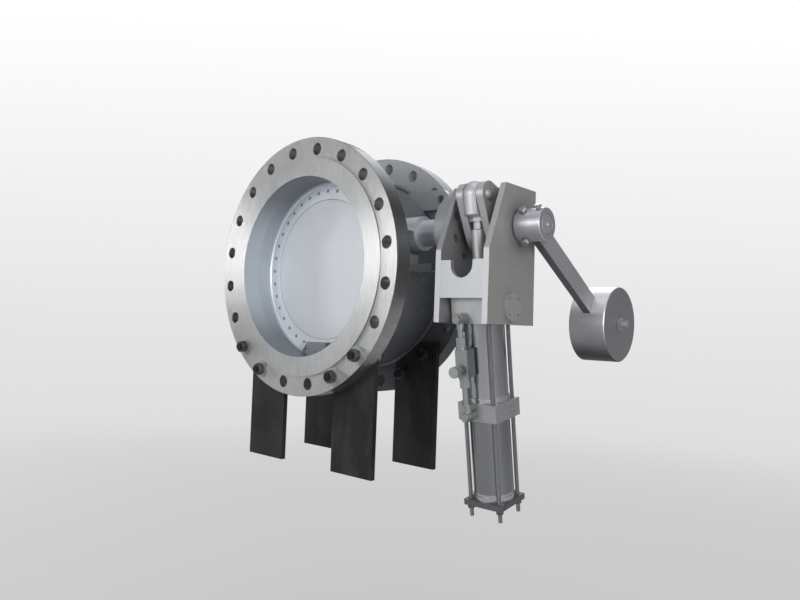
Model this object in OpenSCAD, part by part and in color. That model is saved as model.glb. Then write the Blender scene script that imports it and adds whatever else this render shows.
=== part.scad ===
// Tilting-disc non-return valve, DN500 PN16, with lever, oil damper and counterweight.
// +Y is the flow direction, +X points to the lever side, +Z is up.
// The origin is the centre of the inlet flange's raised face.

/* [Flanges] */
// Radial width of each flange, from the bore to its edge
flange_w = 107.5; // [103:0.5:112]
// Thickness of each flange without its raised face
flange_t = 48; // [46:0.5:50]
// Height of the raised sealing face
raised_h = 4; // [3:0.5:5]
// Distance of the bolt circle from the flange's edge
bolt_edge = 32.5; // [31:0.5:35]
// Distance of the raised face's edge from the bolt circle
raised_edge = 20.5; // [18:0.5:23]
// Diameter of each flange bolt hole
bolt_hole_d = 33; // [30:0.5:34]
// Number of bolt holes in each flange
bolt_count = 20; // [20:2:22]

/* [Body shell] */
// Diameter of the passage through the valve
bore_d = 500; // [499:0.5:503]
// Length over the two raised faces
face_to_face = 350; // [348:1:360]
// Wall thickness of the body shell
shell_wall = 24; // [20:0.5:26]
// Leg of the weld between the shell and each flange
weld_leg = 8; // [4:1:10]

/* [Seat and disc] */
// Distance from the inlet face to the front of the disc
disc_y = 97; // [94:1:100]
// Radial depth of the seat ring at the front of the disc
seat_lip = 11.6; // [11:0.2:14]
// Half-angle of the seat cone
seat_angle = 16.7; // [15:0.1:18.5]
// Length of the seat ring along the bore
seat_len = 30; // [26:1:34]
// Gap between the disc's edge and the seat
seat_gap = 0.4; // [0.3:0.1:0.8]
// Radial width of the seal retaining ring
ring_w = 36.4; // [34:0.2:44]
// Thickness of the seal retaining ring
ring_t = 6; // [5:0.5:8]
// Thickness of the laminated disc seal
seal_t = 4; // [3:0.5:5]
// Thickness of the disc behind its seal
disc_t = 17; // [15:1:20]
// Distance of the retaining screws from the ring's outer edge
ring_screw_inset = 12.4; // [9:0.2:15]
// Number of retaining screws
ring_screw_count = 36; // [12:1:36]
// Diameter of a retaining screw's countersunk head
ring_screw_head_d = 11; // [8:0.5:12]
// Thickness of the ribs on the back of the disc
disc_rib_t = 16; // [10:1:24]
// Distance between the two shaft lugs of the disc
lug_pitch = 250; // [220:2:280]
// Length of each shaft lug
lug_len = 70; // [50:2:80]
// Outside diameter of each shaft lug
lug_d = 90; // [84:1:96]

/* [Shaft] */
// Distance from the inlet face to the shaft's axis
shaft_y = 175; // [174:0.5:177]
// Height of the shaft's axis over the bore's axis
shaft_z = 94; // [93:0.5:96]
// Diameter of the shaft
shaft_d = 50; // [48:0.5:52]
// Radial running clearance of the shaft in its bushes
run_gap = 0.05; // [0.02:0.01:0.09]
// Wall thickness of the shaft bushes
bush_wall = 7; // [5:0.5:8]
// Length of the shaft beyond the counterweight hub's inner end
shaft_overhang = 70; // [66:1:76]
// Length of the blind-side boss beyond the shell
blind_reach = 58; // [48:1:71]

/* [Neck] */
// Outside diameter of the neck tube
neck_d = 70; // [68:1:80]
// Outside diameter of the step at the neck's root
neck_root_d = 92; // [84:1:104]
// Length of the root step beyond the shell
neck_root_len = 28; // [21:1:36]
// Length of the neck beyond the shell
neck_len = 170; // [166:1:176]
// Diameter of the neck's round flange
neck_flange_d = 184; // [178:1:190]
// Thickness of the neck's round flange
neck_flange_t = 46; // [44:1:50]
// Radial width of the packing round the shaft
packing_w = 8; // [6:0.5:9]

/* [Bracket] */
// Thickness of each bracket plate
plate_t = 15; // [13:0.5:16]
// Gap between the damper's blocks and each bracket plate
block_play = 7; // [6.5:0.5:8.5]
// Thickness of the bracket's front web
web_t = 12; // [8:1:16]
// Width of the web's U-shaped notch
notch_w = 62; // [50:1:70]
// Thickness of the flat bar that ties the plates at their top
tie_bar_t = 11.5; // [8:0.5:12]
// Number of screws that hold the bracket to the neck
bracket_screw_count = 9; // [6:1:9]

/* [Lever] */
// Distance from the shaft's axis to the lever pin's axis
lever_len = 104.9; // [104:0.1:106]
// Thickness of each lever cheek
cheek_t = 19; // [17:0.5:20]
// Clear width between the lever cheeks
cheek_gap = 38; // [37.5:0.5:39]
// Diameter of the lever pin
pin_d = 24; // [22:0.5:25]

/* [Counterweight] */
// Outside diameter of the counterweight hub
hub_d = 78; // [72:1:84]
// Length of the counterweight hub
hub_len = 70; // [64:1:72]
// Angle of the counterweight arm below the horizontal
arm_angle = 29.8; // [26:0.2:32]
// Distance from the shaft's axis to the drum's axis
arm_len = 449; // [420:1:470]
// Thickness of the arm
arm_t = 20; // [14:1:24]
// Depth of the arm
arm_w = 50; // [40:1:56]
// Diameter of the counterweight drum
drum_d = 204; // [190:1:216]
// Width of the counterweight drum
drum_w = 100; // [90:1:104]

/* [Damper] */
// Distance from the inlet face to the trunnion axis
trunnion_y = 139.3; // [138.5:0.1:140]
// Depth of the trunnion axis below the bore's axis
trunnion_z = 101; // [100.5:0.1:101.5]
// Backward tilt of the damper when the disc is shut
damper_tilt = 9.28; // [9.2:0.01:9.35]
// Diameter of the trunnion pins
trunnion_d = 32; // [28:1:34]
// Outside diameter of the damper tubes
tube_d = 98; // [94:0.5:99]
// Inside diameter of the damper tubes
tube_bore = 80; // [76:0.5:84]
// Width of the square damper blocks
block_w = 107; // [105:0.5:110]
// Length of the upper tube
upper_len = 193.4; // [186:0.2:198]
// Length of the middle block
mid_len = 43.2; // [36:0.2:50]
// Length of the lower tube
lower_len = 199.4; // [180:0.2:200]
// Thickness of the bottom flange
bottom_t = 14; // [10:0.5:15]
// Diameter of the piston rod
rod_d = 34; // [30:0.5:34.5]
// Diameter of the damper's tie rods
damper_tie_d = 10; // [8:0.5:11]
// Distance of the oil line in front of the damper's axis
oil_line_y = 75; // [72:0.5:80]
// Diameter of the oil pipe
pipe_d = 15; // [12:0.5:16]
// Diameter of the adjusting knob
knob_d = 27; // [20:1:32]

/* [Legs] */
// Width of each leg
leg_w = 150; // [145:1:152]
// Thickness of each leg
leg_t = 14; // [10:1:16]
// Depth of the feet below the bore's axis
foot_drop = 552; // [540:1:700]
// Diameter of the leg studs
stud_d = 20; // [18:0.5:22]
// Distance of the leg studs outside the bolt circle
stud_offset = 4; // [3.5:0.5:5]
// Width across flats of the stud nuts
nut_af = 30; // [27:0.5:32]

/* [Hidden] */
$fn = 96;
eps = 0.01;

// Clearances between pieces that don't run on each other
side_gap = 1;
screw_gap = 0.1;
sleeve_gap = 0.5;

bore_r = bore_d / 2;
shell_r = bore_r + shell_wall;
flange_r = bore_r + flange_w;
bolt_circle_r = flange_r - bolt_edge;
raised_r = bolt_circle_r - raised_edge;
shaft_r = shaft_d / 2;
inlet_back_y = raised_h + flange_t;
outlet_front_y = face_to_face - raised_h - flange_t;
bolt_step = 360 / bolt_count;

// Seat and disc
seat_slope = tan(seat_angle);
seat_front_r = bore_r - seat_lip;
seat_y0 = disc_y - 7;
seat_chamfer = 3.2;
disc_back_y = disc_y + ring_t + seal_t + disc_t;
rim_y = disc_y + ring_t + seal_t + 8;
ring_land = 13;
face_step = 1;
lug_r = lug_d / 2;
ring_in_r = seat_front_r - ring_w;
ring_screw_r = seat_front_r - ring_screw_inset;
disc_pin_r = 8;
disc_pin_len = 2 * lug_r - 6;

// Shaft line
bush_r = shaft_r + run_gap + bush_wall;
bush_in_x = bore_r - 4;
blind_x = shell_r + blind_reach;
neck_root_x = shell_r + neck_root_len;
bracket_x = shell_r + neck_len;
cover_t = 12;
packing_x = bracket_x - neck_flange_t + 8;
packing_r = shaft_r + run_gap + packing_w;
gland_flange_t = 14;

// Bracket
bracket_gap = block_w + 2 * block_play;
plate_out_x = bracket_x + plate_t + bracket_gap;
bracket_mid_x = bracket_x + plate_t + bracket_gap / 2;
plate_front_y = 45;
plate_low_z = -143;
plate_top_z = 188;
plate_slant_z = 28;
plate_slant_y = 108;
plate_back_y = 248;
plate_back_lean = 5;
web_top_z = 4;
web_low_z = -85;
notch_z = -38;
bracket_screw_r = 79;

// Lever: the pin lies on the damper's axis when the disc is shut
pin_angle = 138.9;
pin_y = shaft_y + lever_len * cos(pin_angle);
pin_z = shaft_z + lever_len * sin(pin_angle);
eye_w = cheek_gap - 3;
pin_travel_r = 4.5;
pin_travel_y = -3.4;
pin_travel_z = 3;
cheek_end_r = 30;
cheek_hub_r = 70;
rod_eye_r = 34;
eye_shoulder = 6;
pin_head_r = 18;
pin_head_h = 9;
rod_eye_z = sqrt(pow(pin_y - trunnion_y, 2) + pow(pin_z + trunnion_z, 2));

// Counterweight
hub_x = plate_out_x + plate_t + 2;
hub_set_screws = [[20, 132], [22, 250], [55, 115]];
drum_x = hub_x - 17;
arm_x = drum_x + (drum_w - arm_t) / 2;

// Damper, measured along its own axis from the trunnions
head_top = 45;
head_low = -34;
head_front = 56;
mid_top = head_low - upper_len;
mid_low = mid_top - mid_len;
bottom_top = mid_low - lower_len;
bottom_low = bottom_top - bottom_t;
tie_at = 41;
band_len = 12;
piston_z = -92;
piston_len = 30;
nut_z = 204;
lock_nut_h = 12;
lock_nut_af = 36;
thread_r = 12;
rod_end_z = nut_z + 36;
gland_r = 24;
gland_head_r = 30;
upper_port = [-16, -20];
lower_port = [-9, (mid_top + mid_low) / 2 - 4];
needle_x = -17;
needle_low = -158;
needle_high = -92;

// Legs
leg_hole_1 = 1.5 * bolt_step;
leg_hole_2 = 2.5 * bolt_step;
leg_clear_r = shell_r + weld_leg + 3;
stud_circle_r = bolt_circle_r + stud_offset;
stud_mid_x = stud_circle_r * (sin(leg_hole_1) + sin(leg_hole_2)) / 2;
leg_top_z = 32.6 - stud_circle_r * cos(leg_hole_2);
inlet_leg_x = stud_mid_x - 13;
outlet_leg_x = stud_mid_x + 4;
washer_t = 4;
washer_r = stud_offset + raised_edge - sleeve_gap;
nut_h = 16;
stud_tip = 5;
stud_inner_tip = 10;

// Turns a shape that stands on +Z so that it runs along +Y or along +X
module along_y() { rotate([-90, 0, 0]) children(); }
module along_x() { rotate([0, 90, 0]) children(); }

// A disc or tube along Y, from y0 to y1
module rod_y(r, y0, y1, x = 0, z = 0) {
    translate([x, y0, z]) along_y() cylinder(r = r, h = y1 - y0);
}

// A disc or tube along X on the shaft's axis, from x0 to x1
module on_shaft(r, x0, x1) {
    translate([x0, shaft_y, shaft_z]) along_x() cylinder(r = r, h = x1 - x0);
}

// Places a shape at a given angle on the flange's bolt circle, counted from the top
module at_bolt(angle, r = bolt_circle_r) {
    rotate([0, angle, 0]) translate([0, 0, r]) children();
}

// An outline in Y and Z, given thickness along X
module side_plate(x0, t) {
    translate([x0, 0, 0]) rotate([90, 0, 90]) linear_extrude(t) children();
}

// An outline in X and Z, given thickness along Y
module front_plate(y0, t) {
    translate([0, y0 + t, 0]) rotate([90, 0, 0]) linear_extrude(t) children();
}

// The damper's own frame: its axis is Z and the trunnions lie on X
module in_damper() {
    translate([bracket_mid_x, trunnion_y, -trunnion_z]) rotate([damper_tilt, 0, 0]) children();
}

// Point where the tangent from p touches the circle of radius r round c, on the given side
function touch(p, c, r, side) =
    let (d = norm(c - p), a = atan2(c.y - p.y, c.x - p.x) + side * asin(r / d), l = sqrt(d * d - r * r))
    p + l * [cos(a), sin(a)];

// Outline of a link with a large end at a and a small end at b, with straight tangent sides
module link_outline(a, ra, b, rb) {
    d = norm(b - a);
    dir = atan2(b.y - a.y, b.x - a.x);
    lean = acos((ra - rb) / d);
    translate(a) circle(r = ra);
    translate(b) circle(r = rb);
    polygon([
        a + ra * [cos(dir + lean), sin(dir + lean)],
        a + ra * [cos(dir - lean), sin(dir - lean)],
        b + rb * [cos(dir - lean), sin(dir - lean)],
        b + rb * [cos(dir + lean), sin(dir + lean)]
    ]);
}

// A hexagon that stands on z = 0, its corners turned down at both ends
module hex_body(af, h) {
    corner_r = af / (2 * cos(30));
    turned_r = corner_r + 1;
    rise = (turned_r - af / 2) * tan(30);
    intersection() {
        cylinder(r = corner_r, h = h, $fn = 6);
        rotate_extrude() polygon([
            [0, 0], [af / 2, 0], [turned_r, rise], [turned_r, h - rise], [af / 2, h], [0, h]
        ]);
    }
}

// A hexagon nut that stands on z = 0
module hex_nut(af, h, hole_r) {
    difference() {
        hex_body(af, h);
        translate([0, 0, -1]) cylinder(r = hole_r, h = h + 2);
    }
}

// A socket-head screw that stands on z = 0 with its shank below
module socket_screw(head_d, head_h, shank_d, shank_len) {
    difference() {
        union() {
            cylinder(d = head_d, h = head_h);
            translate([0, 0, -shank_len]) cylinder(d = shank_d, h = shank_len + eps);
        }
        translate([0, 0, head_h / 2]) cylinder(d = head_d * 0.58, h = head_h, $fn = 6);
    }
}

module flange_blank() {
    difference() {
        union() {
            rod_y(flange_r, raised_h, inlet_back_y);
            rod_y(raised_r, 0, inlet_back_y);
        }
        rod_y(bore_r, -1, inlet_back_y + 1);
        for (i = [0 : bolt_count - 1]) {
            at_bolt((i + 0.5) * bolt_step) translate([0, -1, 0]) along_y()
                cylinder(d = bolt_hole_d, h = inlet_back_y + 2);
        }
    }
}

module inlet_flange() {
    color("gainsboro") flange_blank();
}

module outlet_flange() {
    color("silver") translate([0, face_to_face, 0]) mirror([0, 1, 0]) flange_blank();
}

// Shell with a weld cone at each flange and a cross bore for the shaft's bushes
module body_shell() {
    y0 = inlet_back_y;
    y1 = outlet_front_y;
    color("lightslategray") difference() {
        along_y() rotate_extrude() polygon([
            [bore_r, y0], [shell_r + weld_leg, y0], [shell_r, y0 + weld_leg],
            [shell_r, y1 - weld_leg], [shell_r + weld_leg, y1], [bore_r, y1]
        ]);
        on_shaft(bush_r, -shell_r - 20, shell_r + 20);
    }
}

// Conical seat, widening downstream, with a small lead-in at its front
module seat_ring() {
    y1 = seat_y0 + seat_len;
    neck_y = seat_y0 + 5;
    color("silver") along_y() rotate_extrude() polygon([
        [bore_r, seat_y0], [bore_r, y1],
        [seat_front_r + (y1 - disc_y) * seat_slope, y1],
        [seat_front_r + (neck_y - disc_y) * seat_slope, neck_y],
        [seat_front_r + (neck_y - disc_y) * seat_slope + seat_chamfer, seat_y0]
    ]);
}

stop_x = 28;
stop_w = 76;
stop_y0 = 50;
stop_top_z = -(bore_r - 41);
stop_ear_t = 12;
stop_ear_x = -62;
stop_ear_w = 60;
stop_ear_drop = 3;
stop_bolt_r = 4;

// Height of a stop bolt at x, on a circle that lies a given depth inside the bore
function on_stop(x, depth) = -sqrt(pow(bore_r - depth, 2) - x * x);
stop_bolt_at = [[-47, on_stop(-47, 23.1)], [-21, on_stop(-21, 16.1)]];

// Rest for the closing disc, bent to the bore at the bottom
module stop_block() {
    color("dimgray") difference() {
        intersection() {
            rod_y(bore_r, stop_y0, seat_y0);
            union() {
                translate([stop_x - stop_w / 2, stop_y0, -bore_r - 1])
                    cube([stop_w, seat_y0 - stop_y0, bore_r + stop_top_z + 1]);
                translate([stop_ear_x, seat_y0 - stop_ear_t, -bore_r - 1])
                    cube([stop_ear_w, stop_ear_t, bore_r + 1 + stop_top_z - stop_ear_drop]);
            }
        }
        for (p = stop_bolt_at) {
            rod_y(stop_bolt_r + screw_gap, seat_y0 - stop_ear_t - 1, seat_y0 + 1, p.x, p.y);
        }
    }
}

module stop_bolts() {
    color("silver") for (p = stop_bolt_at) {
        rod_y(9, seat_y0 - 2 * stop_ear_t, seat_y0 - stop_ear_t, p.x, p.y);
        rod_y(stop_bolt_r, seat_y0 - stop_ear_t - eps, seat_y0, p.x, p.y);
    }
}

// Neck that carries the shaft's bush and packing out to the bracket
module drive_neck() {
    flange_x = bracket_x - neck_flange_t;
    color("lightslategray") difference() {
        union() {
            on_shaft(neck_d / 2, shell_r - 40, bracket_x);
            on_shaft(neck_root_d / 2, shell_r - 40, neck_root_x);
            translate([flange_x, shaft_y, shaft_z]) along_x() rotate_extrude() polygon([
                [0, 0], [neck_flange_d / 2 - 8, 0], [neck_flange_d / 2, 8],
                [neck_flange_d / 2, neck_flange_t], [0, neck_flange_t]
            ]);
        }
        rod_y(shell_r, 0, face_to_face);
        on_shaft(bush_r, shell_r - 60, neck_root_x);
        on_shaft(shaft_r + side_gap, neck_root_x - 1, bracket_x + 1);
        on_shaft(packing_r, packing_x, bracket_x + 1);
        bracket_screw_places() cylinder(d = 12 + 2 * screw_gap, h = 80, center = true);
    }
}

// Thin horizontal rib between the inlet flange and the neck's root
module neck_rib() {
    rib_x0 = shell_r - 74;
    rib_t = 11;
    color("lightslategray") difference() {
        translate([rib_x0, inlet_back_y, shaft_z + 1])
            cube([neck_root_x - 2 - rib_x0, shaft_y - 30 - inlet_back_y, rib_t]);
        rod_y(shell_r, 0, face_to_face);
        on_shaft(neck_root_d / 2, 0, neck_root_x + 1);
        weld_cone();
    }
}

module weld_cone() {
    along_y() rotate_extrude() polygon([
        [0, inlet_back_y - 1], [shell_r + weld_leg, inlet_back_y - 1],
        [shell_r + weld_leg, inlet_back_y], [shell_r, inlet_back_y + weld_leg], [0, inlet_back_y + weld_leg]
    ]);
}

lift_x = shell_r - 4;
lift_z = shell_r - 68;
lift_r = 28;
lift_t = 12;
lift_hole_d = 24;

// Flat lifting lug in front of the outlet flange, its inner end cut to the shell
module lifting_lug() {
    color("gainsboro") difference() {
        front_plate(outlet_front_y - weld_leg - lift_t, lift_t) difference() {
            union() {
                translate([lift_x, lift_z]) circle(r = lift_r);
                translate([lift_x - 150, lift_z - lift_r]) square([150, 2 * lift_r]);
            }
            translate([lift_x, lift_z]) circle(d = lift_hole_d);
        }
        rod_y(shell_r, 0, face_to_face);
    }
}

// Square strut from the shell to the bracket's inner plate
module bracket_strut() {
    color("slategray") difference() {
        translate([shell_r - 30, trunnion_y, -8]) cube([bracket_x - shell_r + 30, 48, 48]);
        rod_y(shell_r, 0, face_to_face);
        on_shaft(neck_flange_d / 2, shell_r, bracket_x + 1);
    }
}

module blind_boss() {
    color("lightslategray") difference() {
        on_shaft(neck_root_d / 2 + 9, -blind_x, -shell_r + 40);
        rod_y(shell_r, 0, face_to_face);
        on_shaft(bush_r, -blind_x - 1, -200);
        cover_bolt_places() cylinder(r = 5 + screw_gap, h = 24);
    }
}

module cover_bolt_places() {
    for (a = [0 : 60 : 300]) {
        translate([-blind_x, shaft_y + 44 * cos(a), shaft_z + 44 * sin(a)]) along_x() children();
    }
}

module shaft_bushes() {
    for (span = [[bush_in_x, neck_root_x], [-blind_x + 4, -bush_in_x]]) {
        color("peru") difference() {
            on_shaft(bush_r, span[0], span[1]);
            on_shaft(shaft_r + run_gap, span[0] - 1, span[1] + 1);
        }
    }
}

module end_cover() {
    color("slategray") difference() {
        union() {
            on_shaft(neck_root_d / 2 + 9, -blind_x - cover_t, -blind_x);
            on_shaft(bush_r - screw_gap, -blind_x - 1, -blind_x + 3);
        }
        cover_bolt_places() cylinder(r = 5 + screw_gap, h = 60, center = true);
    }
}

module end_cover_bolts() {
    color("silver") cover_bolt_places() {
        translate([0, 0, -cover_t - 7]) hex_body(17, 7);
        translate([0, 0, -cover_t - eps]) cylinder(r = 5, h = cover_t + 22);
    }
}

packing_pitch = 7;
packing_count = 4;

module packing_rings() {
    color("darkslategray") for (i = [0 : packing_count - 1]) {
        difference() {
            on_shaft(packing_r, packing_x + i * packing_pitch, packing_x + (i + 1) * packing_pitch - 0.2);
            on_shaft(shaft_r + run_gap, packing_x, packing_x + 40);
        }
    }
}

module gland_ring() {
    x0 = packing_x + packing_count * packing_pitch;
    x1 = bracket_x + plate_t;
    color("slategray") difference() {
        union() {
            on_shaft(packing_r - screw_gap, x0, x1 + gland_flange_t);
            on_shaft(packing_r + 12, x1, x1 + gland_flange_t);
        }
        on_shaft(shaft_r + sleeve_gap, x0 - 1, x1 + 20);
    }
}

module bracket_outline() {
    polygon([
        [plate_front_y, plate_low_z], [plate_front_y, plate_slant_z], [plate_slant_y, plate_top_z],
        [plate_back_y - plate_back_lean, plate_top_z], [plate_back_y, plate_low_z]
    ]);
}

module trunnion_hole() {
    translate([trunnion_y, -trunnion_z]) circle(d = trunnion_d + 10);
}

module bracket_inner_plate() {
    color("whitesmoke") difference() {
        side_plate(bracket_x, plate_t) difference() {
            bracket_outline();
            translate([shaft_y, shaft_z]) circle(r = packing_r + 1);
            trunnion_hole();
        }
        bracket_screw_places() {
            cylinder(d = 12 + 2 * screw_gap, h = 60, center = true);
            translate([0, 0, -12]) cylinder(d = 19, h = 13);
        }
    }
}

module bracket_outer_plate() {
    color("gray") side_plate(plate_out_x, plate_t) difference() {
        bracket_outline();
        translate([shaft_y, shaft_z]) circle(r = bush_r);
        trunnion_hole();
    }
}

// Front web between the plates, with a U notch that clears the piston rod
module bracket_web() {
    x0 = bracket_x + plate_t;
    color("whitesmoke") front_plate(plate_front_y, web_t) difference() {
        translate([x0, web_low_z]) square([bracket_gap, web_top_z - web_low_z]);
        translate([bracket_mid_x, notch_z + notch_w / 2]) circle(d = notch_w);
        translate([bracket_mid_x - notch_w / 2, notch_z + notch_w / 2]) square([notch_w, 60]);
    }
}

// Screws lie on a circle round the shaft, their heads flush with the plate
module bracket_screw_places() {
    for (i = [0 : bracket_screw_count - 1]) {
        a = 162 + i * 360 / bracket_screw_count;
        on_y = shaft_y + bracket_screw_r * cos(a);
        on_z = shaft_z + bracket_screw_r * sin(a);
        translate([bracket_x + plate_t, on_y, on_z]) along_x() children();
    }
}

module bracket_screws() {
    color("dimgray") bracket_screw_places() translate([0, 0, -12]) socket_screw(18, 12, 12, 22);
}

// Flat bar between the plates, flush with their top and clear of the lever
module bracket_tie_bar() {
    bar_y = 151;
    bar_w = 24;
    color("gainsboro") translate([bracket_x + plate_t, bar_y, plate_top_z - tie_bar_t])
        cube([bracket_gap, bar_w, tie_bar_t]);
}

module outer_shaft_bush() {
    color("peru") difference() {
        on_shaft(bush_r, plate_out_x - 6, plate_out_x + plate_t);
        on_shaft(shaft_r + run_gap, plate_out_x - 7, plate_out_x + plate_t + 1);
    }
}

// Flanged bush, closed at its outer end, that carries one trunnion pin
module trunnion_cap() {
    reach = 11;
    difference() {
        union() {
            cylinder(d = trunnion_d + 10, h = plate_t + reach);
            translate([0, 0, plate_t]) cylinder(d = trunnion_d + 36, h = reach);
        }
        translate([0, 0, -1]) cylinder(r = trunnion_d / 2 + run_gap, h = plate_t + 6);
        for (a = [45 : 90 : 315]) {
            rotate(a) translate([trunnion_d / 2 + 11, 0, plate_t + reach - 4]) cylinder(d = 8, h = 5);
        }
    }
}

module trunnion_caps() {
    color("slategray") {
        translate([plate_out_x, trunnion_y, -trunnion_z]) along_x() trunnion_cap();
        translate([bracket_x + plate_t, trunnion_y, -trunnion_z]) rotate([0, -90, 0]) trunnion_cap();
    }
}

// Flat bar leg; its slanted top follows the shell, and two studs hold it to the flange
module leg(centre_x, y0) {
    a = (leg_hole_1 + leg_hole_2) / 2;
    x0 = centre_x - leg_w / 2;
    x1 = centre_x + leg_w / 2;
    top_x = (leg_clear_r + leg_top_z * cos(a)) / sin(a);
    front_plate(y0, leg_t) difference() {
        polygon([
            [x0, -foot_drop], [x0, (x0 * sin(a) - leg_clear_r) / cos(a)],
            [top_x, leg_top_z], [x1, leg_top_z], [x1, -foot_drop]
        ]);
        for (h = [leg_hole_1, leg_hole_2]) {
            translate(stud_circle_r * [sin(h), -cos(h)]) circle(d = stud_d + 2);
        }
    }
}

module inlet_leg_right() { color("#3a3634") leg(inlet_leg_x, inlet_back_y); }
module inlet_leg_left() { color("#3a3634") mirror([1, 0, 0]) leg(inlet_leg_x, inlet_back_y); }
module outlet_leg_right() { color("#3a3634") leg(outlet_leg_x, outlet_front_y - leg_t); }
module outlet_leg_left() { color("#3a3634") mirror([1, 0, 0]) leg(outlet_leg_x, outlet_front_y - leg_t); }

// Places a stack that starts on a flange's outer face, beside its raised face, and runs inwards
module at_leg_studs() {
    for (h = [leg_hole_1, leg_hole_2, -leg_hole_1, -leg_hole_2]) {
        at_bolt(180 + h, stud_circle_r) translate([0, raised_h, 0]) along_y() children();
        translate([0, face_to_face, 0]) mirror([0, 1, 0])
            at_bolt(180 + h, stud_circle_r) translate([0, raised_h, 0]) along_y() children();
    }
}

stack_in = flange_t + leg_t;

module leg_studs() {
    color("dimgray") at_leg_studs() translate([0, 0, -washer_t - nut_h - stud_tip])
        cylinder(d = stud_d, h = stack_in + 2 * (washer_t + nut_h) + stud_tip + stud_inner_tip);
}

module leg_nuts() {
    color("dimgray") at_leg_studs() {
        translate([0, 0, -washer_t - nut_h]) hex_nut(nut_af, nut_h, stud_d / 2 + screw_gap);
        translate([0, 0, stack_in + washer_t]) hex_nut(nut_af, nut_h, stud_d / 2 + screw_gap);
    }
}

module leg_washers() {
    color("gray") at_leg_studs() for (z = [-washer_t, stack_in]) {
        translate([0, 0, z]) difference() {
            cylinder(r = washer_r, h = washer_t);
            translate([0, 0, -1]) cylinder(r = stud_d / 2 + screw_gap, h = washer_t + 2);
        }
    }
}

// Radius of the disc's conical edge at a distance y from the inlet face
function edge_r(y) = seat_front_r - seat_gap + (y - disc_y) * seat_slope;

// Disc with a step for its seal, two ribs and two lugs for the shaft
module disc() {
    seal_y = disc_y + ring_t;
    seat_y = seal_y + seal_t;
    land_r = ring_in_r + ring_land;
    cross_rib_z = -46;
    cross_rib_h = 26;
    cross_rib_t = 12;
    color("lightgray") difference() {
        union() {
            along_y() rotate_extrude() polygon([
                [0, disc_y + face_step], [ring_in_r - side_gap, disc_y + face_step],
                [ring_in_r - side_gap, seal_y], [land_r, seal_y], [land_r, seat_y],
                [edge_r(seat_y), seat_y], [edge_r(rim_y), rim_y],
                [edge_r(rim_y) - 14, disc_back_y], [0, disc_back_y]
            ]);
            for (s = [-1, 1]) {
                side_plate(s * lug_pitch / 2 - lug_len / 2, lug_len) lug_outline();
                side_plate(s * lug_pitch / 2 - disc_rib_t / 2, disc_rib_t) rib_outline();
            }
            translate([-lug_pitch / 2, disc_back_y - 1, cross_rib_z])
                cube([lug_pitch, cross_rib_h, cross_rib_t]);
        }
        on_shaft(shaft_r + screw_gap / 2, -lug_pitch, lug_pitch);
        disc_pin_places() cylinder(r = disc_pin_r, h = disc_pin_len + 6);
        ring_screw_places() translate([0, 0, 2]) cylinder(r = 3, h = 22);
    }
}

module lug_outline() {
    c = [shaft_y, shaft_z];
    top = [disc_back_y - 1, shaft_z + 66];
    low = [disc_back_y - 1, shaft_z - 60];
    translate(c) circle(r = lug_r);
    polygon([top, touch(top, c, lug_r, 1), c, touch(low, c, lug_r, -1), low]);
}

module rib_outline() {
    low_z = -edge_r(disc_y) + 48;
    polygon([
        [disc_back_y - 1, shaft_z], [shaft_y, shaft_z - lug_r + 6],
        [disc_back_y + 8, low_z], [disc_back_y - 1, low_z]
    ]);
}

module disc_pin_places() {
    for (s = [-1, 1]) {
        translate([s * lug_pitch / 2, shaft_y + lug_r + 2, shaft_z]) rotate([90, 0, 0]) children();
    }
}

module disc_pins() {
    color("silver") disc_pin_places() cylinder(r = disc_pin_r, h = disc_pin_len);
}

module disc_seal() {
    y0 = disc_y + ring_t;
    color("darkgray") difference() {
        along_y() rotate_extrude() polygon([
            [ring_in_r + ring_land + 0.2, y0], [edge_r(y0), y0],
            [edge_r(y0 + seal_t), y0 + seal_t], [ring_in_r + ring_land + 0.2, y0 + seal_t]
        ]);
        ring_screw_places() cylinder(r = 3 + screw_gap, h = 60, center = true);
    }
}

module ring_screw_places() {
    for (i = [0 : ring_screw_count - 1]) {
        rotate([0, i * 360 / ring_screw_count, 0]) translate([0, disc_y, ring_screw_r])
            along_y() children();
    }
}

module retaining_ring() {
    y1 = disc_y + ring_t;
    color("silver") difference() {
        along_y() rotate_extrude() polygon([
            [ring_in_r, disc_y], [edge_r(disc_y), disc_y], [edge_r(y1), y1], [ring_in_r, y1]
        ]);
        ring_screw_places() {
            translate([0, 0, -1]) cylinder(r = 3 + screw_gap, h = ring_t + 2);
            translate([0, 0, -eps]) cylinder(d1 = ring_screw_head_d + 0.4, d2 = 6, h = 3);
        }
    }
}

module retaining_screws() {
    color("gray") ring_screw_places() difference() {
        union() {
            translate([0, 0, 0.2]) cylinder(d1 = ring_screw_head_d, d2 = 6, h = 2.6);
            translate([0, 0, 2]) cylinder(r = 3, h = 18);
        }
        translate([0, 0, -1]) cylinder(d = 4.6, h = 3, $fn = 6);
    }
}

module shaft() {
    x0 = -blind_x + 4;
    x1 = hub_x + shaft_overhang;
    color("silver") difference() {
        translate([x0, shaft_y, shaft_z]) along_x() rotate_extrude() polygon([
            [0, 0], [shaft_r - 2, 0], [shaft_r, 2],
            [shaft_r, x1 - x0 - 2], [shaft_r - 2, x1 - x0], [0, x1 - x0]
        ]);
        translate([x1 - 6, shaft_y, shaft_z]) along_x() cylinder(r1 = 0, r2 = 6, h = 6 + eps);
        disc_pin_places() cylinder(r = disc_pin_r, h = disc_pin_len + 6);
        key_blank(0);
    }
}

lever_x0 = bracket_mid_x - cheek_gap / 2 - cheek_t;
key_w = 14;
key_h = 9;
key_seat = 5.5;

module key_blank(gap) {
    translate([lever_x0 + 4, shaft_y - key_w / 2 - gap, shaft_z + shaft_r - key_seat])
        cube([cheek_gap + 2 * cheek_t - 8, key_w + 2 * gap, key_h + gap]);
}

module lever_key() {
    color("gray") key_blank(0);
}

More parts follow.
